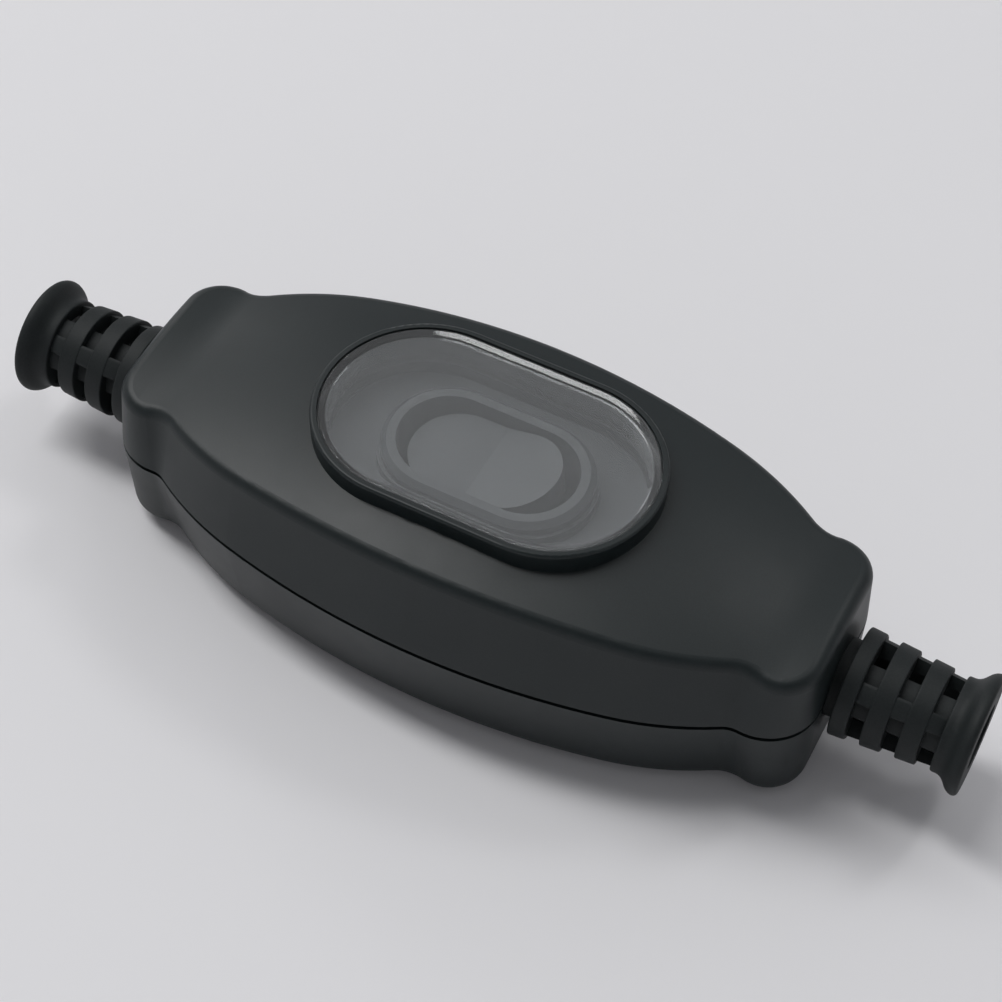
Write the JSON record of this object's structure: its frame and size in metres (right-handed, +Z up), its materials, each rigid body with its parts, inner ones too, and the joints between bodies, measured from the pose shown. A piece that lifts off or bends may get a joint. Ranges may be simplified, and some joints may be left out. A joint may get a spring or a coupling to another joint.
{
  "type": "inline cord switch",
  "caption": "Sealed switch for the middle of a power cord: a clear push-through membrane over a rocker, and a ribbed rubber strain relief at each end.",
  "frame": {"origin": "on the surface it lies on, under the middle of the housing", "axes": "+X along the cord towards the right strain relief, +Z up through the window"},
  "size_m": [0.1514, 0.0514, 0.0358],
  "materials": {
    "housing": "fine moulded texture",
    "relief_rubber": "soft matte",
    "clear_membrane": "soft clear silicone, slightly hazy",
    "frame_plastic": "moulded",
    "clamp_plastic": "moulded",
    "switch_plastic": "moulded",
    "rocker_plastic": "moulded",
    "plunger_plastic": "moulded",
    "seal_rubber": "soft",
    "screw_steel": "zinc plated",
    "spring_steel": "drawn wire",
    "contact_metal": "copper alloy with silver contact",
    "brass": "stamped and machined"
  },
  "bodies": {
    "housing": {"housing_top": "housing", "housing_base": "housing", "housing_screws": "screw_steel", "window_membrane": "clear_membrane", "switch_frame": "frame_plastic", "frame_screws": "screw_steel", "strain_relief_right": "relief_rubber", "strain_relief_left": "relief_rubber", "cord_clamp_right": "clamp_plastic", "cord_clamp_left": "clamp_plastic", "cord_clamp_screws": "screw_steel", "switch_case": "switch_plastic", "earth_block": "brass", "earth_screws": "screw_steel", "housing_seal_front": "seal_rubber", "housing_seal_back": "seal_rubber", "common_terminal_front": "brass", "load_terminal_front": "brass", "common_terminal_back": "brass", "load_terminal_back": "brass"},
    "rocker": {"rocker": "rocker_plastic", "plunger_spring_front": "spring_steel", "plunger_spring_back": "spring_steel"},
    "plunger_front": {"plunger_front": "plunger_plastic"},
    "plunger_back": {"plunger_back": "plunger_plastic"},
    "blade_front": {"contact_blade_front": "contact_metal"},
    "blade_back": {"contact_blade_back": "contact_metal"}
  },
  "joints": [
    {"name": "rocker_turn", "type": "hinge", "parent": "housing", "child": "rocker", "pos_m": [0, 0, 0.0265], "axis": [0, 1, 0], "range_deg": [0, 16]},
    {"name": "plunger_front_slide", "type": "slide", "parent": "rocker", "child": "plunger_front", "axis": [-0.1392, 0, 0.9903], "range_m": [0, 0.0004], "stiffness_N_per_m": 300, "springref_m": -0.002, "deforming": ["plunger_spring_front"]},
    {"name": "blade_front_tilt", "type": "hinge", "parent": "housing", "child": "blade_front", "pos_m": [0, -0.00358, 0.01704], "axis": [0, 1, 0], "range_deg": [-12, 0]},
    {"name": "plunger_back_slide", "type": "slide", "parent": "rocker", "child": "plunger_back", "axis": [-0.1392, 0, 0.9903], "range_m": [0, 0.0004], "stiffness_N_per_m": 300, "springref_m": -0.002, "deforming": ["plunger_spring_back"]},
    {"name": "blade_back_tilt", "type": "hinge", "parent": "housing", "child": "blade_back", "pos_m": [0, 0.00358, 0.01704], "axis": [0, 1, 0], "range_deg": [-12, 0]}
  ],
  "couplings": [
    {"joint": "blade_front_tilt", "follows": "rocker_turn", "ratio": -0.75},
    {"joint": "blade_back_tilt", "follows": "rocker_turn", "ratio": -0.75}
  ]
}
